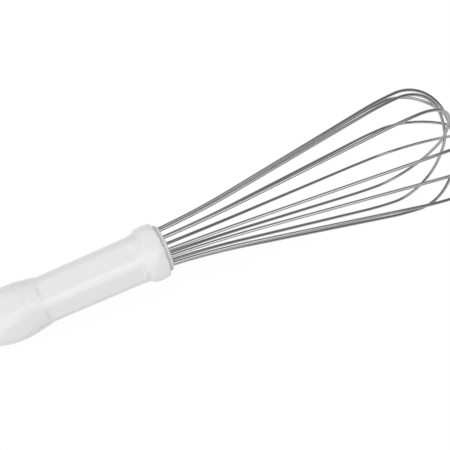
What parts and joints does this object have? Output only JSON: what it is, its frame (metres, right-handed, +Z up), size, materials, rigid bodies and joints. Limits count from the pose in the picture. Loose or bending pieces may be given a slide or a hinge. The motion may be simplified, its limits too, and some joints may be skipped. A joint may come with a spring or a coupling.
{
  "type": "balloon whisk",
  "caption": "Hand balloon whisk: nested round steel wire loops splay from a domed collar into a bulb, held in a moulded six-sided grip with a palm swell and a hanging hole",
  "frame": {"origin": "middle of the footprint on the table, with the whisk at rest on its butt and its lowest wires", "axes": "+X along the whisk from the butt to the tip of the cage, +Z up"},
  "size_m": [0.305, 0.0686, 0.0641],
  "materials": {
    "handle_plastic": "glossy",
    "seal_plastic": "satin",
    "wire_steel": "polished",
    "core_plastic": "matt",
    "band_steel": "satin",
    "potting_resin": "glossy"
  },
  "bodies": {
    "root": {"handle_shell": "handle_plastic", "seal_disc": "seal_plastic", "wire_core": "core_plastic", "tail_band": "band_steel", "resin_fill": "potting_resin", "wire_loop_1": "wire_steel", "wire_loop_2": "wire_steel", "wire_loop_3": "wire_steel", "wire_loop_4": "wire_steel", "wire_loop_5": "wire_steel", "wire_loop_6": "wire_steel"}
  },
  "joints": []
}
